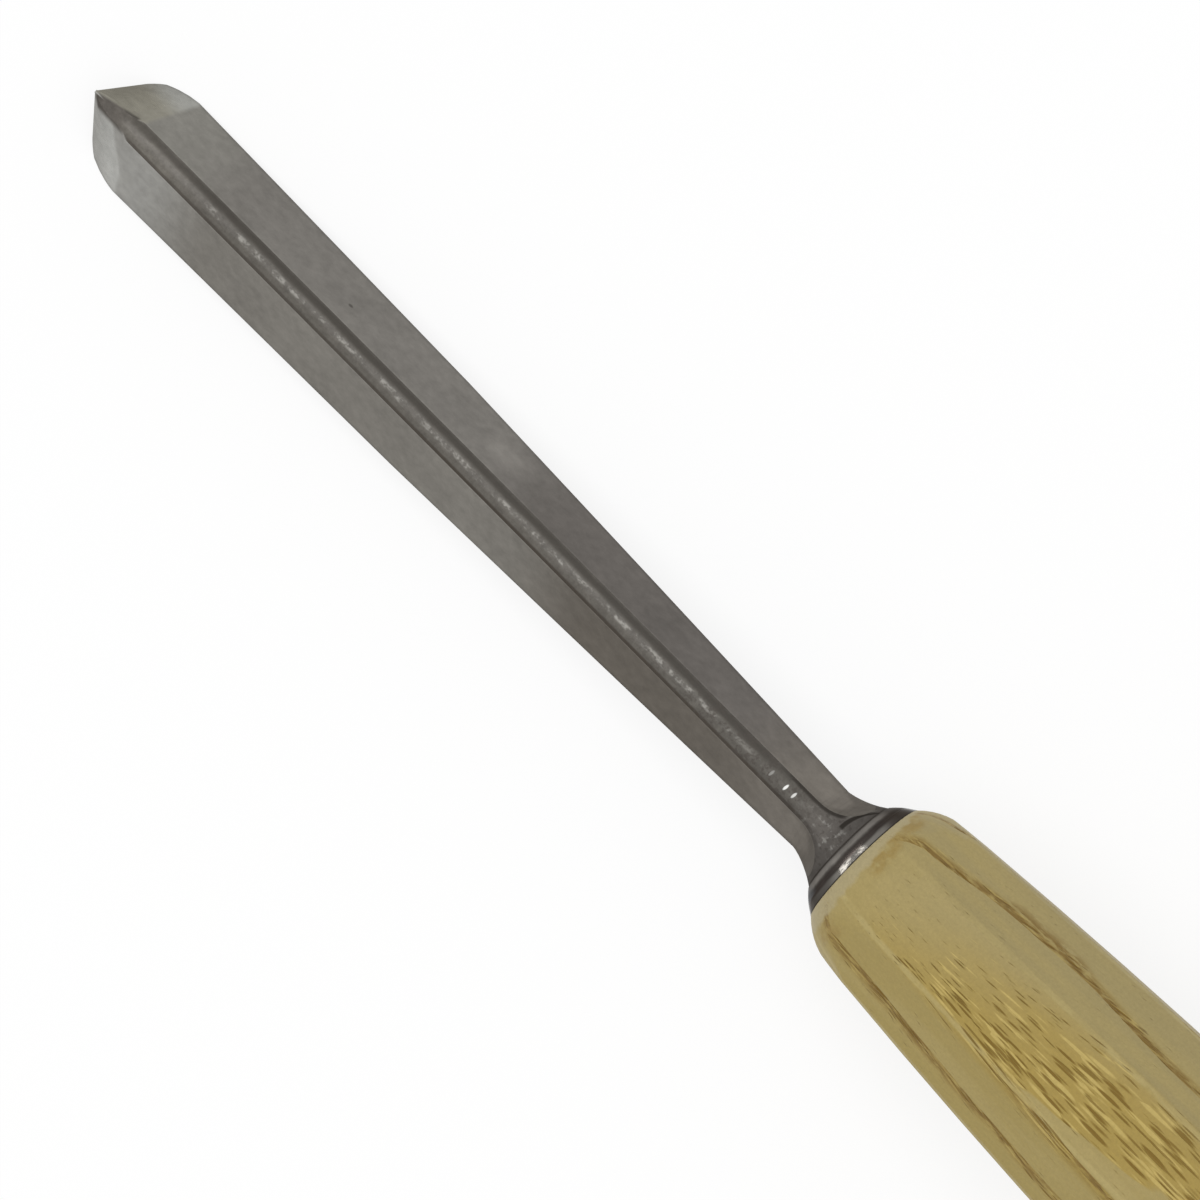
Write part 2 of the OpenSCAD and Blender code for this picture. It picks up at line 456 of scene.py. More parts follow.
class Finish:
    """A material with nodes."""

    name: str

    def graph(self) -> tuple[bpy.types.Material, Graph]:
        """Starts the material.

        Returns:
            A new material and its empty tree.
        """
        material = bpy.data.materials.new(self.name)
        material.use_nodes = True
        return material, Graph(material.node_tree)

    @staticmethod
    def close(graph: Graph, sockets: Mapping[str, Input]) -> None:
        """Ends a tree in a Principled shader.

        Args:
            graph: The tree.
            sockets: The shader's values and links.
        """
        shader = graph.node("ShaderNodeBsdfPrincipled", None, sockets)
        graph.node("ShaderNodeOutputMaterial", None, {"Surface": shader})

    def make(self) -> bpy.types.Material:
        """Builds the material."""
        raise NotImplementedError


@dataclass(frozen=True)
class BladeForm:
    """Sizes of the blade in its own millimetres, for the finish that follows its faces."""

    length: float = 106.6
    half_v: float = math.radians(30.0)
    keel_h: float = 3.72
    keel_band: float = 2.6
    tip_z: float = 2.454
    bevel_normal: tuple[float, float, float] = (0.2694, 0.8465, 0.4591)
    keel_run: float = 5.2
    rim_z: float = -4.915
    rim_slope: float = math.radians(1.4)
    neck_x: float = 7.4
    neck_r: float = 3.89
    belly_growth: float = 0.0525
    collar_len: float = 2.05
    scallop_r: float = 5.5
    scallop_x: float = 7.1

    @property
    def apex_z(self) -> float:
        """Height at which the two outer flats would meet."""
        half = self.keel_band / 2
        return math.sqrt(self.keel_h ** 2 - half ** 2) + half / math.tan(self.half_v)


@dataclass(frozen=True)
class Zones:
    """Where each finish of the blade lies, as masks of 0 to 1 and distances in millimetres.

    near is the distance from the tip, and above how far a point lies outside the ground flat.
    """

    near: Term
    above: Term
    web: Term
    forged: Term
    bevel: Term
    keel_bevel: Term
    collar: Term
    edge: Term
    right: Term


@dataclass(frozen=True)
class BladeMap:
    """Finds the blade's faces from their planes and arcs, and says how softly they meet."""

    form: BladeForm = BladeForm()
    scallop_share: float = 0.999
    crown_foot: Step = Step(2.3, 2.7)
    neck_back: Step = Fall(6.2, 7.0)
    bevel_edge: Step = Step(-0.16, 0.04)
    nose_right: float = 1.3
    nose_right_slant: float = 0.237
    nose_right_edge: Step = Step(-0.16, 0.2)
    nose_left: float = 1.05
    nose_left_slant: float = 0.9
    nose_left_edge: Step = Step(-0.3, 0.3)
    nose_foot: Step = Step(1.2, 1.8)
    nose_soft: float = 0.5
    hollow_slant: float = 1.6
    hollow_fall: float = 0.2
    hollow_edge: Step = Step(-0.1, -0.02)
    web_end: Step = Fall(4.0, 9.0)
    flat_edge: Step = Fall(-0.05, -0.01)
    collar_soft: float = 0.03
    rim_edge: Step = Fall(0.03, 0.5)
    middle: Step = Fall(-0.05, 0.05)

    def above_flats(self, spot: Spot) -> Term:
        """Measures from the ground flats, which rise into scallops at the bolster.

        Args:
            spot: Place in the tool's own millimetres.

        Returns:
            How far a point lies outside them.
        """
        form = self.form
        run = (form.scallop_x - spot.x).most(0.0).least(form.scallop_r * self.scallop_share)
        lift = form.scallop_r - (form.scallop_r ** 2 - run * run) ** 0.5
        slope = (spot.z - form.apex_z) * math.sin(form.half_v)
        return abs(spot.y) * math.cos(form.half_v) + slope - lift

    def keel_bevel(self, spot: Spot, near: Term) -> Term:
        """Finds the bevel under the keel.

        Args:
            spot: Place in the tool's own millimetres.
            near: Distance from the tip.

        Returns:
            Its mask.
        """
        form, y, z = self.form, spot.y, spot.z
        right = y + (near * self.nose_right_slant).least(self.nose_right)
        left = (near * self.nose_left_slant).least(self.nose_left) - y
        sides = right.rise(self.nose_right_edge) * left.rise(self.nose_left_edge)
        over = abs(y) * self.hollow_slant + z - form.tip_z - near * self.hollow_fall
        run = near.rise(Fall(form.keel_run, form.keel_run + self.nose_soft))
        return sides * over.rise(self.hollow_edge) * z.rise(self.nose_foot) * run

    def zones(self, spot: Spot) -> Zones:
        """Finds all the faces.

        Args:
            spot: Place in the tool's own millimetres.

        Returns:
            The masks.
        """
        form, x, y, z = self.form, spot.x, spot.y, spot.z
        side = abs(y)
        near = form.length - x
        above = self.above_flats(spot)
        top = z.rise(self.crown_foot).most(x.rise(self.neck_back))
        ahead, aside, up = form.bevel_normal
        bevel = (side * aside + (z - form.tip_z) * up - near * ahead).rise(self.bevel_edge)
        rim = z - form.rim_z - near * math.tan(form.rim_slope)
        round_r = (side * side + z * z) ** 0.5
        belly = form.neck_r + (x - form.neck_x) * form.belly_growth - round_r
        front, soft = form.collar_len, self.collar_soft
        return Zones(
            near=near,
            above=above,
            web=x.rise(self.web_end),
            forged=above.rise(self.flat_edge) * top * (1.0 - bevel),
            bevel=bevel,
            keel_bevel=self.keel_bevel(spot, near),
            collar=x.rise(Fall(front - soft, front + soft)),
            edge=rim.least(belly).rise(self.rim_edge),
            right=y.rise(self.middle),
        )


@dataclass(frozen=True)
class SharedTones:
    """Tones that several faces of the blade share: a pit, the painted glints, and a dark joint
    also used as painted shade.
    """

    pit: Colour = srgb(70, 66, 62)
    painted_glint: Colour = srgb(132, 130, 125)
    seam: Colour = srgb(57, 53, 49)


SHARED_TONES = SharedTones()


@dataclass(frozen=True)
class Flats:
    """The two ground flats and the polished bevels at their ends.

    The right flat also has a lighter, abraded patch and a pit. The tones along the blade and
    from side to side are painted reflection and shade, and the bright bevels carry painted
    reflections.
    """

    left: Colour = srgb(132, 129, 123)
    right: Colour = srgb(127, 124, 119)
    left_shank: Colour = srgb(109, 104, 97)
    right_shank: Colour = srgb(109, 105, 101)
    neck: Colour = srgb(122, 117, 110)
    left_tip: Colour = srgb(159, 158, 154)
    right_tip: Colour = srgb(137, 135, 129)
    left_bevel_glare: Colour = srgb(180, 180, 176)
    right_bevel_glare: Colour = srgb(143, 140, 129)
    right_heel_glare: Colour = srgb(162, 162, 157)
    tip_start: Step = Step(88.0, 98.0)
    shank_end: Step = Fall(34.0, 48.0)
    shank_lag: float = 9.0
    neck_end: Step = Fall(8.0, 20.0)
    heel_side: Step = Step(3.0, 5.2)
    bevel_shade: Step = Step(0.5, 6.0, 0.93, 1.0)
    glare_start: float = 2.6
    glare_edge: Step = Step(-0.35, 0.35)
    cloud: Noise = Noise(0.16)
    cloud_share: float = 0.3
    mottle: Noise = Noise(0.9, 3.0, 0.6)
    mottle_share: float = 0.5
    grain: Noise = Noise(4.0, 2.0, 0.6)
    grain_share: float = 0.1
    rubbed_x: Band = Band(52.6, 0.8, 2.8)
    rubbed_z: Band = Band(0.1, 0.5, 1.8)
    rubbed_share: float = 0.2
    pit_x: float = 73.9
    pit_z: float = 0.84
    pit_len: float = 0.3
    pit_h: float = 0.2
    pit_edge: Step = Step(0.3, 1.4, 0.6, 0.0)
    rim_shade: float = 0.22

    def ground(self, graph: Graph, spot: Spot, zones: Zones) -> Term:
        """Colour of the flats along the blade, from the neck to the bevels, in painted reflection
        tones.

        Args:
            graph: The tree to build in.
            spot: Place in the tool's own millimetres.
            zones: The blade's masks.

        Returns:
            The colour.
        """
        # Painted reflection and shade: lighter flats near the tip, darker along the shank and
        # neck, left and right toned apart.
        tip = graph.mix(zones.right, self.left_tip, self.right_tip)
        flat = graph.mix(zones.right, self.left, self.right)
        colour = graph.mix(spot.x.rise(self.tip_start), flat, tip)
        shank = graph.mix(zones.right, self.left_shank, self.right_shank)
        behind = (spot.x - zones.right * self.shank_lag).rise(self.shank_end)
        colour = graph.mix(behind, colour, shank)
        colour = graph.mix(spot.x.rise(self.neck_end), colour, self.neck)
        # Painted reflections on the bevels: the left one bright, the right one lighter at its
        # outer heel, both darker towards the tip.
        right = graph.mix(abs(spot.y).rise(self.heel_side), self.right_bevel_glare, self.right_heel_glare)
        bevel = graph.mix(zones.right, self.left_bevel_glare, right)
        bevel = graph.tint(bevel, zones.near.rise(self.bevel_shade))
        # Where the left bevel's painted reflection shows.
        bevel_glare = zones.right.most((spot.y + self.glare_start - zones.near).rise(self.glare_edge))
        return graph.mix(zones.bevel * bevel_glare, colour, bevel)

    def colour(self, graph: Graph, spot: Spot, zones: Zones) -> Term:
        """Colour of the flats with their clouds, abraded patch and pit, and painted shade along
        the rims.

        Args:
            graph: The tree to build in.
            spot: Place in the tool's own millimetres.
            zones: The blade's masks.

        Returns:
            The colour.
        """
        cloud = spot.swing(self.cloud) * self.cloud_share
        mottle = spot.swing(self.mottle) * self.mottle_share
        grain = spot.swing(self.grain) * self.grain_share
        rubbed_and_lit = spot.x.hump(self.rubbed_x) * spot.z.hump(self.rubbed_z) * zones.right
        shade = 1.0 + cloud + mottle + grain + rubbed_and_lit * self.rubbed_share
        # Painted shade: the flats darken towards their rims.
        shade = shade * (1.0 - zones.edge * self.rim_shade)
        along, down = (spot.x - self.pit_x) / self.pit_len, (spot.z - self.pit_z) / self.pit_h
        pit = (along * along + down * down).rise(self.pit_edge) * zones.right
        return graph.mix(pit, graph.tint(self.ground(graph, spot, zones), shade), SHARED_TONES.pit)


@dataclass(frozen=True)
class KeelBand:
    """The as-forged keel band, with painted shade, highlight and glints, and the bevel that ends
    it.
    """

    band: Colour = srgb(87, 84, 79)
    crest_highlight: Colour = srgb(94, 91, 87)
    stripe_shade: Colour = srgb(66, 63, 59)
    hair_shade: Colour = srgb(63, 58, 52)
    keel: Colour = srgb(96, 92, 87)
    nib: Colour = srgb(76, 72, 67)
    wander: Noise = Noise(0.7, 1.0, along=0.35, layer=0.0)
    wander_width: float = 0.5
    crest_line: Band = Band(-0.02, 0.1, 0.5)
    crest_sway: float = 0.7
    crest_start: Step = Step(10.0, 30.0, 0.2, 0.9)
    tip_light: Step = Step(10.0, 18.0, 1.28, 1.0)
    neck_shade: Step = Step(8.0, 32.0, 0.84, 1.0)
    keel_end: Step = Fall(3.6, 5.6)
    patch: Noise = Noise(1.6, 3.0, 0.6, along=0.35, layer=0.0)
    patch_share: float = 0.6
    mottle: Noise = Noise(1.8, 3.0, 0.65, along=1.2, layer=0.0)
    mottle_share: float = 0.6
    stripe_line: Band = Band(0.0, 0.12, 0.5)
    stripe_sway: float = 0.35
    stripe_slant: float = 0.2
    stripe_shift: float = 0.8
    stripe_start: Step = Step(9.0, 15.0)
    stripe_end: Step = Step(4.0, 5.4)
    stripe_fade: Step = Step(7.0, 20.0, 0.65, 0.92)
    hair_line: Band = Band(-0.1, 0.07, 0.16)
    hair_end: Step = Step(4.6, 6.4)
    hair_fade: Step = Step(50.0, 75.0, 0.9, 0.55)
    nib_end: Step = Fall(0.2, 1.6)
    pits: Noise = Noise(2.1, 2.0, 0.6, along=0.9, layer=6.4)
    pit_level: Step = Step(0.48, 0.64)
    pit_fade: Step = Step(16.0, 36.0, 0.75, 0.1)
    painted_glints: Noise = Noise(1.5, 2.0, 0.7, along=0.7, layer=3.7)
    glint_level: Step = Step(0.45, 0.68)
    glint_line: Band = Band(0.03, 0.08, 0.3)
    glint_start: Step = Step(10.0, 26.0, 0.15, 1.0)
    glint_end: Step = Step(9.0, 20.0)
    glint_share: float = 0.7

    def colour(self, graph: Graph, spot: Spot, zones: Zones) -> tuple[Term, Term]:
        """Colour of the band.

        Args:
            graph: The tree to build in.
            spot: Place in the tool's own millimetres.
            zones: The blade's masks.

        Returns:
            The colour, and the mask of its painted glints.
        """
        x, y, near = spot.x, spot.y, zones.near
        wander = spot.swing(self.wander) * self.wander_width
        line = y + wander * self.crest_sway
        # Painted highlight: a lighter line along the middle of the crown.
        crest_highlight = line.hump(self.crest_line) * x.rise(self.crest_start)
        colour = graph.mix(crest_highlight, self.band, self.crest_highlight)
        # Painted light and shade: lighter towards the tip, darker towards the neck.
        colour = graph.tint(colour, near.rise(self.tip_light) * x.rise(self.neck_shade))
        colour = graph.mix(near.rise(self.keel_end), colour, self.keel)
        patch = spot.swing(self.patch) * self.patch_share
        mottle = spot.swing(self.mottle) * self.mottle_share
        colour = graph.tint(colour, 1.0 + patch + mottle)
        # Painted shade: a dark line down the side of the crown that turns away from the light.
        aside = (near * self.stripe_slant).least(self.stripe_shift)
        stripe_shade = (y + wander * self.stripe_sway + aside).hump(self.stripe_line)
        stripe_shade = stripe_shade * x.rise(self.stripe_start) * near.rise(self.stripe_end)
        colour = graph.mix(stripe_shade * near.rise(self.stripe_fade), colour, self.stripe_shade)
        # Painted shade in the crease where the left flat meets the band.
        hair_shade = zones.above.hump(self.hair_line) * (1.0 - zones.right) * near.rise(self.hair_end)
        colour = graph.mix(hair_shade * x.rise(self.hair_fade), colour, self.hair_shade)
        colour = graph.mix(near.rise(self.nib_end), colour, self.nib)
        pits = spot.noise(self.pits).rise(self.pit_level) * x.rise(self.pit_fade)
        colour = graph.mix(pits, colour, SHARED_TONES.pit)
        # Painted glints: bright specks along the crown.
        painted_glint = spot.noise(self.painted_glints).rise(self.glint_level) * line.hump(self.glint_line)
        painted_glint = painted_glint * near.rise(self.glint_end) * x.rise(self.glint_start)
        return graph.mix(painted_glint * self.glint_share, colour, SHARED_TONES.painted_glint), painted_glint


@dataclass(frozen=True)
class ForgedWeb:
    """The as-forged web that runs from the band up to the bolster, with painted shade and glints.
    """

    web: Colour = srgb(94, 90, 86)
    patch: Noise = Noise(0.8, 3.0, 0.65, layer=1.3)
    patch_share: float = 0.8
    foot_shade: Step = Step(2.0, 5.0, 0.8, 1.0)
    pits: Noise = Noise(1.9, 2.0, layer=9.1)
    pit_level: Step = Step(0.56, 0.7)
    pit_share: float = 0.6
    painted_glints: Noise = Noise(1.7, 3.0, 0.6, layer=5.2)
    glint_level: Step = Step(0.54, 0.7)
    glint_line: Band = Band(0.4, 0.7, 1.2)
    glint_share: float = 0.75

    def colour(self, graph: Graph, spot: Spot) -> tuple[Term, Term]:
        """Colour of the web.

        Args:
            graph: The tree to build in.
            spot: Place in the tool's own millimetres.

        Returns:
            The colour, and the mask of its painted glints.
        """
        patch = spot.swing(self.patch) * self.patch_share
        # Painted shade: the web darkens near the bolster.
        colour = graph.tint(self.web, (1.0 + patch) * spot.x.rise(self.foot_shade))
        pits = spot.noise(self.pits).rise(self.pit_level)
        colour = graph.mix(pits * self.pit_share, colour, SHARED_TONES.pit)
        # Painted glints: bright specks across the web.
        painted_glint = spot.noise(self.painted_glints).rise(self.glint_level) * spot.y.hump(self.glint_line)
        return graph.mix(painted_glint * self.glint_share, colour, SHARED_TONES.painted_glint), painted_glint


@dataclass(frozen=True)
class ShadeAndGlints:
    """Painted shade in a fold beside the right scallop, a painted highlight on its rim, painted
    glints and a painted shadow line.

    The painted glints lie ahead of the web, each with its place along the blade and its strength.
    The painted shadow line follows the edge of the forged face near the bolster.
    """

    glint_tone: Colour = srgb(196, 196, 193)
    notch_shade: Colour = srgb(48, 45, 41)
    lip_highlight: Colour = srgb(140, 136, 129)
    keel_side: Step = Step(0.0, 1.0)
    fold_x: float = 3.55
    fold_right: float = 1.2
    fold_bow: float = 0.13
    fold_depth: float = 1.7
    fold_shade_right: Step = Step(-5.2, -4.4)
    fold_shade_left: Step = Fall(-1.1, -0.8)
    fold_shade_width: Step = Step(-4.2, -1.6, 0.05, 0.2)
    fold_shade_edge: Step = Step(-0.12, 0.04)
    fold_shade_share: float = 0.95
    lip_line: Band = Band(0.42, 0.06, 0.16)
    lip_right: Step = Step(-4.8, -4.0)
    lip_left: Step = Fall(-2.6, -1.6)
    lip_share: float = 0.6
    glint_spots: tuple[tuple[float, float], ...] = ((12.1, 0.22), (10.15, 1.0), (9.05, 0.75))
    glint_slant: float = 0.12
    glint_y: float = 0.02
    glint_len: float = 0.13
    glint_w: float = 0.34
    glint_inside: float = 0.5
    glint_outside: float = 1.7
    border_line: Band = Band(-0.13, 0.05, 0.2)
    border_start: Step = Step(3.4, 4.4)
    border_end: Step = Fall(9.0, 13.0)
    border_share: float = 0.35
    border_right: float = 0.5

    def shaded_fold(self, graph: Graph, spot: Spot, colour: Term) -> Term:
        """Adds the painted shade in the fold and the painted highlight on its rim.

        Args:
            graph: The tree to build in.
            spot: Place in the tool's own millimetres.
            colour: The forged colour.

        Returns:
            The colour with the fold.
        """
        y, keel_side = spot.y, spot.z.rise(self.keel_side)
        across = y + self.fold_right
        fold = spot.x - self.fold_x + (across * across * self.fold_bow).least(self.fold_depth)
        reach = y.rise(self.fold_shade_right) * y.rise(self.fold_shade_left)
        # Painted shade: a dark fold beside the right scallop.
        fold_shade = (y.rise(self.fold_shade_width) - abs(fold)).rise(self.fold_shade_edge) * reach
        # Painted highlight: a bright rim beside the dark fold.
        lip_highlight = fold.hump(self.lip_line) * y.rise(self.lip_right) * y.rise(self.lip_left)
        colour = graph.mix(lip_highlight * keel_side * self.lip_share, colour, self.lip_highlight)
        return graph.mix(fold_shade * keel_side * self.fold_shade_share, colour, self.notch_shade)

    def colour(self, graph: Graph, spot: Spot, zones: Zones, colour: Term) -> Term:
        """Adds all the painted shade and glints.

        Args:
            graph: The tree to build in.
            spot: Place in the tool's own millimetres.
            zones: The blade's masks.
            colour: The forged colour.

        Returns:
            The colour with its flaws.
        """
        x, y = spot.x, spot.y
        colour = self.shaded_fold(graph, spot, colour)
        # Painted glints: bright spots ahead of the web.
        for place, strength in self.glint_spots:
            along = (x - place - y * self.glint_slant) / self.glint_len
            across = (y - self.glint_y) / self.glint_w
            edge = Step(self.glint_inside, self.glint_outside, strength, 0.0)
            colour = graph.mix((along * along + across * across).rise(edge), colour, self.glint_tone)
        # Painted shadow: a dark line along the edge of the forged face near the bolster, darker on
        # the right.
        border_shadow = zones.above.hump(self.border_line) * x.rise(self.border_start)
        border_shadow = border_shadow * x.rise(self.border_end)
        share = self.border_share + zones.right * self.border_right
        return graph.mix(border_shadow * share, colour, self.notch_shade)


@dataclass(frozen=True)
class Collar:
    """The polished collar of the bolster, ring by ring from its front to the wood, in painted
    reflections.
    """

    plain: Colour = srgb(82, 79, 75)
    light: Colour = srgb(122, 118, 113)
    dark: Colour = srgb(60, 55, 52)
    blue_reflection: Colour = srgb(122, 126, 130)
    rim: Colour = srgb(112, 109, 104)
    side: Colour = srgb(60, 55, 51)
    sway: Noise = Noise(0.5, 3.0, 0.6)
    sway_width: float = 0.35
    sway_share: float = 0.9
    light_ring: Band = Band(1.7, 0.12, 0.26)
    dark_ring: Band = Band(0.98, 0.18, 0.26)
    rim_ring: Step = Fall(0.42, 0.74)
    rim_reach: Band = Band(-0.6, 3.0, 1.5)
    side_reach: Step = Fall(-5.6, -3.6)
    side_share: float = 0.8
    blue_reach: Step = Step(4.6, 6.4)
    blue_ring: Band = Band(1.4, 0.3, 0.4)
    blue_share: float = 0.8
    seam_ring: Step = Fall(0.05, 0.16)

    def colour(self, graph: Graph, spot: Spot) -> Term:
        """Colour of the collar.

        Args:
            graph: The tree to build in.
            spot: Place in the tool's own millimetres.

        Returns:
            The colour.
        """
        x, y = spot.x, spot.y
        sway = spot.swing(self.sway)
        place = x + sway * self.sway_width
        # Painted reflections: a light ring, a dark ring, a pale rim, a dark right end and a bluish
        # patch on the left.
        colour = graph.mix(place.hump(self.light_ring), self.plain, self.light)
        colour = graph.mix(place.hump(self.dark_ring), colour, self.dark)
        colour = graph.mix(place.rise(self.rim_ring) * y.hump(self.rim_reach), colour, self.rim)
        colour = graph.mix(y.rise(self.side_reach) * self.side_share, colour, self.side)
        blue_reflection = y.rise(self.blue_reach) * place.hump(self.blue_ring)
        colour = graph.mix(blue_reflection * self.blue_share, colour, self.blue_reflection)
        colour = graph.tint(colour, 1.0 + sway * self.sway_share)
        return graph.mix(x.rise(self.seam_ring), colour, SHARED_TONES.seam)


@dataclass(frozen=True)
class BladeSteel(Finish):
    """Satin-ground flats, an as-forged keel band and web, polished bevels and collar, with painted
    light and shade in their colours.
    """

    name: str = "blade_steel"
    faces: BladeMap = BladeMap()
    flats: Flats = Flats()
    band: KeelBand = KeelBand()
    web: ForgedWeb = ForgedWeb()
    shade_and_glints: ShadeAndGlints = ShadeAndGlints()
    collar: Collar = Collar()
    sheen: tuple[float, float, float, float] = (0.5, 0.49, 0.48, 1.0)
    step_gap: float = 0.05
    step_half: float = 0.04
    step_soft: float = 0.1
    step_reach: Step = Step(-5.5, -2.0, 0.45, 0.9)
    scratch: Noise = Noise(7.0, 3.0, 0.7, along=0.12)
    scratch_depth: float = 0.002
    hammer: Noise = Noise(1.5, 3.0, 0.55, along=0.8)
    hammer_depth: float = 0.035
    ripple: Noise = Noise(0.9)
    ripple_depth: float = 0.022
    satin: float = 0.4
    scratch_rough: float = 0.12
    forged_rough: float = 0.14
    bevel_polish: float = 0.12
    glint_polish: float = 0.12
    collar_rough: Step = Step(0.6, 1.2, 0.1, 0.42)

    def step_shade_line(self, spot: Spot) -> Term:
        """Finds the painted shade line in the step at the collar's front.

        Args:
            spot: Place in the tool's own millimetres.

        Returns:
            Its mask.
        """
        centre = self.faces.form.collar_len + self.step_gap
        line = spot.x.hump(Band(centre, self.step_half, self.step_soft))
        return line * spot.y.rise(self.step_reach)

    def make(self) -> bpy.types.Material:
        """Builds the material.

        Returns:
            The material.
        """
        material, graph = self.graph()
        spot = BENCH.spot(graph)
        zones = self.faces.zones(spot)
        band, band_glint = self.band.colour(graph, spot, zones)
        web, web_glint = self.web.colour(graph, spot)
        forging = self.shade_and_glints.colour(graph, spot, zones, graph.mix(zones.web, band, web))
        painted_glint = band_glint * (1.0 - zones.web) + web_glint * zones.web
        raw = zones.forged.most(zones.keel_bevel)
        colour = graph.mix(raw, self.flats.colour(graph, spot, zones), forging)
        colour = graph.mix(zones.collar, colour, self.collar.colour(graph, spot))
        # Painted shade in the step at the collar's front.
        colour = graph.mix(self.step_shade_line(spot), colour, SHARED_TONES.seam)
        scratch = spot.noise(self.scratch)
        rough = self.satin + (scratch - NOISE_MIDDLE) * self.scratch_rough
        rough = rough + raw * self.forged_rough - zones.bevel * self.bevel_polish
        rough = rough - painted_glint * self.glint_polish
        polished = zones.collar * spot.x.rise(self.collar_rough)
        hammered = spot.noise(self.hammer) * zones.forged * self.hammer_depth
        ripple = spot.noise(self.ripple) * zones.collar * self.ripple_depth
        height = hammered * (1.0 - zones.collar) + ripple + scratch * self.scratch_depth
        self.close(graph, {
            "Base Color": colour,
            "Metallic": 1.0,
            "Roughness": rough * (1.0 - zones.collar) + polished,
            "Normal": graph.bump(height),
            "Specular Tint": self.sheen,
        })
        return material


@dataclass(frozen=True)
class FerruleSteel(Finish):
    """Plain drawn tube with fine lines along it and a little oxide."""

    name: str = "ferrule_steel"
    tube: Colour = srgb(150, 150, 148)
    oxide: Colour = srgb(112, 104, 96)
    lines: Noise = Noise(6.0, 3.0, 0.6, along=0.1)
    line_tone: float = 0.92
    line_share: float = 0.16
    line_depth: float = 0.01
    stains: Noise = Noise(0.6, 3.0)
    stain_level: Step = Step(0.52, 0.72)
    stain_share: float = 0.6
    satin: float = 0.3
    line_rough: float = 0.12
    stain_rough: float = 0.2

    def make(self) -> bpy.types.Material:
        """Builds the material.

        Returns:
            The material.
        """
        material, graph = self.graph()
        spot = BENCH.spot(graph)
        lines = spot.noise(self.lines)
        stain = spot.noise(self.stains).rise(self.stain_level)
        tube = graph.tint(self.tube, self.line_tone + lines * self.line_share)
        self.close(graph, {
            "Base Color": graph.mix(stain * self.stain_share, tube, self.oxide),
            "Metallic": 1.0,
            "Roughness": self.satin + lines * self.line_rough + stain * self.stain_rough,
            "Normal": graph.bump(lines * self.line_depth),
        })
        return material


@dataclass(frozen=True)
class Growth:
    """Where a point lies in its growth ring.

    depth is about the millimetres since the ring's start, early is 1 in its zone of open pores,
    and inner is 0 in the outermost ring and 1 further in.
    """

    depth: Term
    early: Term
    inner: Term


@dataclass(frozen=True)
class Rings:
    """Growth rings: nearly level sheets that rise along the handle and bulge at its right."""

    width: float = 3.5
    power: float = 0.833
    gain: float = 0.9
    crowd: float = 0.3
    level: float = 10.45
    climb: float = 0.03
    lean: float = 0.1
    wave: Noise = Noise(1.0, along=0.06, across=0.3)
    wave_height: float = 0.45
    bulge_side: Step = Fall(-6.4, -4.6)
    bulge_x: Band = Band(-19.0, 5.0, 12.0)
    bulge_height: float = 0.75
    early_start: Step = Step(0.0, 0.08)
    early_end: Step = Fall(0.5, 1.7)

    def growth(self, spot: Spot) -> Growth:
        """Finds how far a point lies into its ring.

        Args:
            spot: Place in the tool's own millimetres.

        Returns:
            Its place in the ring.
        """
        wave = spot.swing(self.wave) * self.wave_height
        bulge = spot.y.rise(self.bulge_side) * spot.x.hump(self.bulge_x) * self.bulge_height
        below = self.level - (spot.z + spot.x * self.climb + spot.y * self.lean + wave + bulge)
        count = (below.most(0.0) / self.width) ** self.power + below.least(0.0) / self.width
        share = count.math(Op.FRACT)
        past = count - share
        depth = share * (self.width + past * self.gain) * (1.0 + past * self.crowd)
        early = depth.rise(self.early_start) * depth.rise(self.early_end)
        return Growth(depth, early, past.least(1.0))


@dataclass(frozen=True)
class Fibres:
    """Slender cells along the grain, which fans out a little towards the butt.

    length and width are a cell's usual size, and shift sets one layer of cells apart from another.
    """

    length: float
    width: float
    shift: float
    fan_x: float = 19.0
    fan_y: float = 1.3
    fan_reach: float = 44.0
    fan_least: float = 0.7
    fan_most: float = 1.2
    sway: Noise = Noise(0.5, along=0.2)
    sway_width: float = 0.5

    def cells(self, graph: Graph, spot: Spot) -> Term:
        """Finds the nearest cell.

        Args:
            graph: The tree to build in.
            spot: Place in the tool's own millimetres.

        Returns:
            Distance from its middle, in cells.
        """
        fan = ((self.fan_x - spot.x) / self.fan_reach).most(self.fan_least).least(self.fan_most)
        lane = (spot.y - self.fan_y) / fan + spot.swing(self.sway) * self.sway_width
        along = spot.x / self.length + self.shift
        return graph.cells(graph.vector(along, lane / self.width, spot.z / self.width))


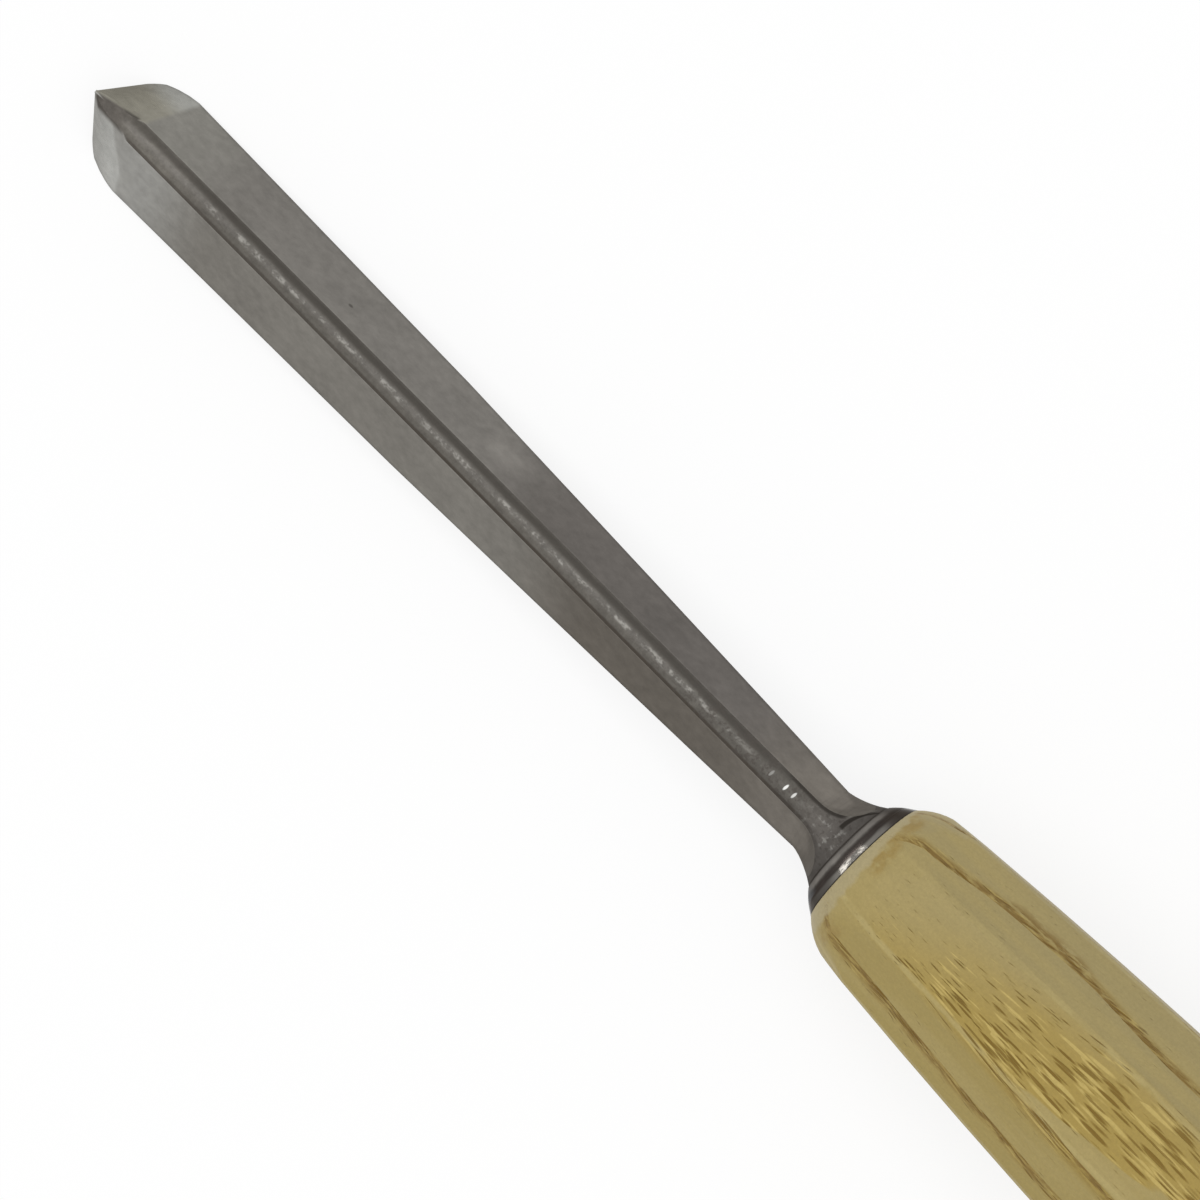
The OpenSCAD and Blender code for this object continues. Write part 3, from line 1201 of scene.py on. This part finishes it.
@dataclass(frozen=True)
class OpenPores:
    """Dark dashes and finer slits in the early wood, densest in a row at a ring's start."""

    dashes: Fibres = Fibres(6.2, 0.38, 7.3)
    dash_size: float = 0.25
    dash_least: float = 0.04
    dash_spread: Step = Step(0.0, 0.65, 0.4, 1.1)
    row_start: Step = Step(0.0, 0.06)
    row_end: Step = Fall(0.1, 0.5)
    row_size: float = 0.05
    row_inner: float = 0.07
    slits: Fibres = Fibres(9.3, 0.266, 23.1)
    slit_size: float = 0.27
    slit_spread: Step = Step(0.0, 0.65, 0.3, 1.2)
    slit_share: float = 0.85
    edge: Step = Step(-0.1, 0.08)
    front: Step = Step(-5.0, -2.5, 1.0, 0.25)

    def mask(self, graph: Graph, spot: Spot, growth: Growth) -> Term:
        """Finds the pores.

        Args:
            graph: The tree to build in.
            spot: Place in the tool's own millimetres.
            growth: Place in the ring.

        Returns:
            Their mask.
        """
        row = growth.depth.rise(self.row_start) * growth.depth.rise(self.row_end)
        row_size = row * (self.row_size + growth.inner * self.row_inner)
        dashes = self.dashes.cells(graph, spot)
        dash = growth.early * self.dash_size + row_size + self.dash_least
        dash = dash * dashes.chance().rise(self.dash_spread)
        slits = self.slits.cells(graph, spot)
        slit = growth.early * self.slit_size * slits.chance().rise(self.slit_spread)
        fine = (slit - slits).rise(self.edge) * self.slit_share
        return (dash - dashes).rise(self.edge).most(fine) * spot.x.rise(self.front)


@dataclass(frozen=True)
class Figure:
    """Colour of the sanded wood: pale patches, early wood, dark ring lines and painted sheen."""

    cool: Colour = srgb(155, 140, 94)
    warm: Colour = srgb(156, 138, 82)
    pale: Colour = srgb(163, 146, 94)
    early: Colour = srgb(157, 134, 66)
    strand: Colour = srgb(117, 91, 38)
    sheen_streak: Colour = srgb(196, 174, 103)
    side_blend: Step = Step(-7.0, 7.0)
    broad: Noise = Noise(0.4, along=0.06)
    broad_level: Step = Step(0.4, 0.65)
    broad_share: float = 0.6
    early_share: float = 0.95
    early_inner: float = 0.5
    line_start: Step = Step(0.0, 0.1)
    line_end: Step = Fall(0.3, 0.9)
    line_slim: Step = Step(4.0, 6.0, 1.0, 0.65)
    line_bulge: Step = Step(-6.6, -5.6, 0.3, 0.0)
    line_bulge_x: Band = Band(-18.4, 3.5, 4.0)
    strands: Noise = Noise(1.8, 3.0, 0.65, along=0.22)
    strand_level: Step = Step(0.35, 0.58)
    strand_side: Step = Step(3.4, 5.2)
    strand_share: float = 0.9
    shines: Fibres = Fibres(8.06, 0.38, 40.5)
    shine_size: float = 0.44
    shine_least: float = 0.3
    shine_edge: Step = Step(-0.1, 0.12)
    streak_share: float = 0.6
    streak_inner: float = 0.3

    def ring_line(self, spot: Spot, growth: Growth) -> Term:
        """Finds the dark strands at a ring's start, away from the top facet.

        Args:
            spot: Place in the tool's own millimetres.
            growth: Place in the ring.

        Returns:
            Their mask.
        """
        x, y, depth = spot.x, spot.y, growth.depth
        slim = abs(y).rise(self.line_slim) - y.rise(self.line_bulge) * x.hump(self.line_bulge_x)
        line = depth.rise(self.line_start) * (depth * slim).rise(self.line_end)
        strands = spot.noise(self.strands).rise(self.strand_level)
        return line * strands * abs(y).rise(self.strand_side)

    def colour(self, graph: Graph, spot: Spot, growth: Growth) -> Term:
        """Colour of the wood before the painted ridge highlight and stains.

        Args:
            graph: The tree to build in.
            spot: Place in the tool's own millimetres.
            growth: Place in the ring.

        Returns:
            The colour.
        """
        early, inner = growth.early, growth.inner
        colour = graph.mix(spot.y.rise(self.side_blend), self.cool, self.warm)
        broad = spot.noise(self.broad).rise(self.broad_level)
        colour = graph.mix(broad * self.broad_share, colour, self.pale)
        share = self.early_share - inner * self.early_inner
        colour = graph.mix(early * share, colour, self.early)
        line = self.ring_line(spot, growth)
        colour = graph.mix(line * self.strand_share, colour, self.strand)
        # Painted sheen: bright slender marks in the early wood.
        shines = self.shines.cells(graph, spot)
        shine = early * self.shine_size * (self.shine_least + shines.chance())
        sheen_streaks = (shine - shines).rise(self.shine_edge)
        share = self.streak_share - inner * self.streak_inner
        return graph.mix(sheen_streaks * share, colour, self.sheen_streak)


@dataclass(frozen=True)
class RidgeHighlight:
    """The ridges between the facets, with a painted highlight along them, in patches."""

    painted_highlight: Colour = srgb(174, 158, 106)
    ridges: tuple[float, float] = (math.radians(22.5), math.radians(67.5))
    edge: Step = Fall(0.12, 0.5)
    right: Step = Fall(-1.0, 1.0)
    right_fade: Step = Step(-27.0, -18.0, 0.7, 0.2)
    left: Step = Step(-1.0, 1.0)
    left_share: float = 0.7
    butt: Step = Step(-120.0, -115.0)
    rubbed_and_lit: Noise = Noise(0.9, along=0.35)
    patch_level: Step = Step(0.36, 0.56, 0.35, 1.0)

    def colour(self, graph: Graph, spot: Spot, colour: Term) -> Term:
        """Adds the painted highlight along the ridges.

        Args:
            graph: The tree to build in.
            spot: Place in the tool's own millimetres.
            colour: The wood's colour.

        Returns:
            The colour with the painted highlight.
        """
        x, y, z = spot.x, spot.y, spot.z
        folded = [abs(y) * math.cos(turn) - abs(z) * math.sin(turn) for turn in self.ridges]
        ridge = abs(folded[0]).least(abs(folded[1])).rise(self.edge)
        # Painted highlight on the ridges, weaker on the right near the bolster.
        painted_highlight = y.rise(self.right) * x.rise(self.right_fade) + y.rise(self.left) * self.left_share
        rubbed_and_lit = spot.noise(self.rubbed_and_lit).rise(self.patch_level)
        return graph.mix(ridge * painted_highlight * rubbed_and_lit * x.rise(self.butt), colour, self.painted_highlight)


@dataclass(frozen=True)
class Stain:
    """A stain at the front of the wood: its place along the axis and its band to the left."""

    x: float
    side: Band


@dataclass(frozen=True)
class WoodEnds:
    """The darker butt, and the stains and end grain round the bolster."""

    stain: Colour = srgb(147, 125, 70)
    end_grain: Colour = srgb(165, 152, 114)
    butt: Step = Step(-123.0, -119.0, 0.5, 0.0)
    front: Step = Step(-1.6, -1.05)
    front_share: float = 0.9
    bow: float = 0.006
    slant: float = 0.08
    sway: Noise = Noise(0.7, 3.0, 0.6)
    sway_width: float = 1.2
    stains: tuple[Stain, ...] = (
        Stain(-1.9, Band(-2.4, 1.4, 1.4)),
        Stain(-2.0, Band(-6.1, 0.6, 0.8)),
        Stain(-2.7, Band(6.8, 0.6, 1.0)),
    )
    stain_half: float = 0.3
    stain_soft: float = 1.0
    stain_share: float = 0.95
    cloud: Noise = Noise(0.6, 3.0, 0.6)
    cloud_level: Step = Step(0.3, 0.55)

    def colour(self, graph: Graph, spot: Spot, colour: Term) -> Term:
        """Adds both ends.

        Args:
            graph: The tree to build in.
            spot: Place in the tool's own millimetres.
            colour: The wood's colour.

        Returns:
            The colour with its ends.
        """
        x, y = spot.x, spot.y
        colour = graph.mix(x.rise(self.butt), colour, self.stain)
        edge = x - y * y * self.bow + y * self.slant + spot.swing(self.sway) * self.sway_width
        cloud = spot.noise(self.cloud).rise(self.cloud_level)
        for stain in self.stains:
            place = edge.hump(Band(stain.x, self.stain_half, self.stain_soft))
            patch = place * y.hump(stain.side) * cloud
            colour = graph.mix(patch * self.stain_share, colour, self.stain)
        return graph.mix(edge.rise(self.front) * self.front_share, colour, self.end_grain)


@dataclass(frozen=True)
class Ash(Finish):
    """Sanded ash with a thin clear finish: wide rings, each starting in a zone of open pores."""

    name: str = "ash"
    rings: Rings = Rings()
    pores: OpenPores = OpenPores()
    figure: Figure = Figure()
    ridge_highlight: RidgeHighlight = RidgeHighlight()
    ends: WoodEnds = WoodEnds()
    pore: Colour = srgb(110, 83, 22)
    pore_share: float = 0.8
    pore_depth: float = 0.06
    pore_rough: float = 0.2
    grain: Noise = Noise(3.6, 3.0, 0.65, along=0.07)
    grain_share: float = 0.16
    grain_depth: float = 0.02
    grain_rough: float = 0.2
    speckle: Noise = Noise(3.0, 3.0, 0.7)
    speckle_share: float = 0.34
    satin: float = 0.5
    gloss: float = 0.25

    def make(self) -> bpy.types.Material:
        """Builds the material.

        Returns:
            The material.
        """
        material, graph = self.graph()
        spot = BENCH.spot(graph)
        growth = self.rings.growth(spot)
        pores = self.pores.mask(graph, spot, growth)
        grain = spot.swing(self.grain)
        speckle = spot.swing(self.speckle)
        colour = self.figure.colour(graph, spot, growth)
        colour = self.ridge_highlight.colour(graph, spot, colour)
        colour = self.ends.colour(graph, spot, colour)
        shade = 1.0 + grain * self.grain_share + speckle * self.speckle_share
        colour = graph.mix(pores * self.pore_share, graph.tint(colour, shade), self.pore)
        self.close(graph, {
            "Base Color": colour,
            "Roughness": self.satin + grain * self.grain_rough + pores * self.pore_rough,
            "Normal": graph.bump(grain * self.grain_depth - pores * self.pore_depth),
            "Specular IOR Level": self.gloss,
        })
        return material


@dataclass(frozen=True)
class Lamp:
    """A rectangular soft light: place and aim in the frame, in metres, two sides and power."""

    name: str
    at: tuple[float, float, float]
    to: tuple[float, float, float]
    sides: tuple[float, float]
    watts: float

    def build(self) -> None:
        """Adds the light."""
        light = bpy.data.lights.new(self.name, "AREA")
        light.shape = "RECTANGLE"
        light.size, light.size_y = self.sides
        light.energy = self.watts
        lamp = bpy.data.objects.new(self.name, light)
        lamp.location = self.at
        aim = Vector(self.to) - Vector(self.at)
        lamp.rotation_euler = aim.to_track_quat("-Z", "Y").to_euler()
        bpy.context.scene.collection.objects.link(lamp)


@dataclass
class Studio:
    """Pale floor, soft light and the camera of the photograph.

    The camera's distance and aim are in the tool's own millimetres, and scale is in pixels of the
    picture per millimetre at the aim.
    """

    distance: float = 1000.0
    lean_back: float = math.radians(8.716)
    lean_side: float = math.radians(-2.6)
    turn: float = math.radians(45.199)
    scale: float = 10.3534
    aim_x: float = 36.309
    aim_left: float = 0.175
    picture: int = 1200
    sensor: float = 36.0
    clip: tuple[float, float] = (0.05, 20.0)
    floor_side: float = 6.0
    floor_tone: tuple[float, float, float, float] = (0.97, 0.97, 0.97, 1.0)
    floor_rough: float = 0.9
    fill: float = 0.62
    glow: float = 0.8
    glint_at: tuple[float, float, float] = (0.4, 0.2, 7.0)

    @property
    def lamps(self) -> tuple[Lamp, ...]:
        """Names the lights.

        Returns:
            A broad light from above, and a strip that the bolster's collar mirrors.
        """
        overhead = Lamp(
            name="overhead",
            at=(0.0, 0.0, 1.2),
            to=(0.0, 0.0, 0.0),
            sides=(1.4, 1.4),
            watts=8.0,
        )
        glint = Lamp(
            name="collar_glint",
            at=(1.2, 0.1, 0.22),
            to=tuple(BENCH.place(self.glint_at)),
            sides=(0.73, 0.07),
            watts=0.85,
        )
        return overhead, glint

    def camera(self) -> None:
        """Adds the camera, at the photograph's angle and distance."""
        back = Vector((
            -math.sin(self.lean_back),
            math.cos(self.lean_back) * math.sin(self.lean_side),
            math.cos(self.lean_back) * math.cos(self.lean_side),
        ))
        ahead = Vector((1.0, 0.0, 0.0))
        ahead = (ahead - back * ahead.dot(back)).normalized()
        left = back.cross(ahead)
        right = -math.cos(self.turn) * ahead - math.sin(self.turn) * left
        up = math.sin(self.turn) * ahead - math.cos(self.turn) * left
        stand = Vector((self.aim_x, 0.0, 0.0)) + self.aim_left * left + self.distance * back
        turn = Matrix.Rotation(BENCH.dip, 4, "Y") @ Matrix((right, up, back)).transposed().to_4x4()
        lens = bpy.data.cameras.new("photo_camera")
        lens.sensor_width = self.sensor
        lens.lens = self.sensor * self.scale * self.distance / self.picture
        lens.clip_start, lens.clip_end = self.clip
        camera = bpy.data.objects.new("photo_camera", lens)
        camera.matrix_world = Matrix.Translation(BENCH.place(stand)) @ turn
        bpy.context.scene.collection.objects.link(camera)
        bpy.context.scene.camera = camera

    @staticmethod
    def seen(graph: Graph) -> Term:
        """Tells what is seen from what only lights.

        Args:
            graph: The tree to build in.

        Returns:
            1 for what the camera sees, directly or in metal or glass, and 0 for plain light.
        """
        camera, glossy, through = (
            graph.node("ShaderNodeLightPath", None, None, name)
            for name in ("Is Camera Ray", "Is Glossy Ray", "Is Transmission Ray")
        )
        return camera.most(glossy).most(through)

    def floor(self) -> None:
        """Adds the pale floor, partly white by itself so that the shadow stays light."""
        bpy.ops.object.select_all(action="DESELECT")
        bpy.ops.mesh.primitive_plane_add(size=self.floor_side, location=(0.0, 0.0, 0.0))
        floor = bpy.context.object
        floor.name = "floor"
        material = bpy.data.materials.new("pale_floor")
        material.use_nodes = True
        graph = Graph(material.node_tree)
        plain = graph.node("ShaderNodeBsdfPrincipled", None, {
            "Base Color": self.floor_tone,
            "Roughness": self.floor_rough,
            "Specular IOR Level": 0.0,
        })
        white = graph.node("ShaderNodeEmission", None, {"Color": WHITE, "Strength": 1.0})
        share = self.seen(graph) * self.glow
        lit = graph.node("ShaderNodeMixShader", None, {0: share, 1: plain, 2: white})
        graph.node("ShaderNodeOutputMaterial", None, {"Surface": lit})
        floor.data.materials.append(material)

    def world(self) -> None:
        """White to the camera and in reflections, a soft fill for everything else."""
        world = bpy.data.worlds.new("studio")
        world.use_nodes = True
        graph = Graph(world.node_tree)
        strength = self.seen(graph) * (1.0 - self.fill) + self.fill
        sky = graph.node("ShaderNodeBackground", None, {"Color": WHITE, "Strength": strength})
        graph.node("ShaderNodeOutputWorld", None, {"Surface": sky})
        bpy.context.scene.world = world

    def build(self) -> None:
        """Builds the whole set."""
        self.camera()
        self.floor()
        self.world()
        for lamp in self.lamps:
            lamp.build()
        bpy.context.scene.view_settings.view_transform = "Standard"


class Piece:
    """A sub-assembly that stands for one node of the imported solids."""

    node: str
    finish: Finish

    def dress(self, piece: bpy.types.Object) -> None:
        """Gives an object this sub-assembly's finish.

        Args:
            piece: The object.
        """
        piece.data.materials.clear()
        piece.data.materials.append(self.finish.make())


class EasedPiece(Piece):
    """A sub-assembly whose node gives way to a merged copy with its soft edges shaded round."""

    slot: str
    name: str
    soft: float

    def eased(self) -> bpy.types.Object:
        """Stands the copy in the node's place.

        Returns:
            The copy.
        """
        piece = bpy.data.objects.new(self.name, frame["nodes"][self.node].data.copy())
        bpy.context.scene.collection.objects.link(piece)
        bpy.ops.object.select_all(action="DESELECT")
        piece.select_set(True)
        bpy.context.view_layer.objects.active = piece
        bpy.ops.object.mode_set(mode="EDIT")
        bpy.ops.mesh.select_all(action="SELECT")
        bpy.ops.mesh.customdata_custom_splitnormals_clear()
        bpy.ops.mesh.remove_doubles(threshold=WELD)
        bpy.ops.object.mode_set(mode="OBJECT")
        bpy.ops.object.shade_smooth_by_angle(angle=self.soft)
        weights = piece.modifiers.new("weights", "WEIGHTED_NORMAL")
        weights.keep_sharp = True
        bpy.ops.object.modifier_apply(modifier=weights.name)
        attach(piece, "root")
        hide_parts(self.node)
        return piece

    def build(self) -> None:
        """Eases and dresses the piece."""
        self.dress(self.eased())


@dataclass
class Blade(EasedPiece):
    """The forged blade with bolster and tang."""

    node: str = "blade"
    slot: str = "blade_steel"
    name: str = "forged_blade"
    finish: Finish = BladeSteel()
    soft: float = math.radians(24.0)


@dataclass
class Ferrule(Piece):
    """The ring hidden in the handle's nose."""

    node: str = "ferrule"
    finish: Finish = FerruleSteel()

    def build(self) -> None:
        """Dresses the ring."""
        self.dress(frame["nodes"][self.node])


@dataclass
class Handle(EasedPiece):
    """The octagonal handle."""

    node: str = "handle"
    slot: str = "ash"
    name: str = "ash_handle"
    finish: Finish = Ash()
    soft: float = math.radians(32.0)


def main() -> None:
    """Builds the set and dresses every piece."""
    logging.basicConfig(level=logging.INFO, format="%(name)s: %(message)s")
    Studio().build()
    for piece in (Blade(), Ferrule(), Handle()):
        piece.build()
        LOG.info("%s built", piece.node)


if __name__ == "__main__":
    main()
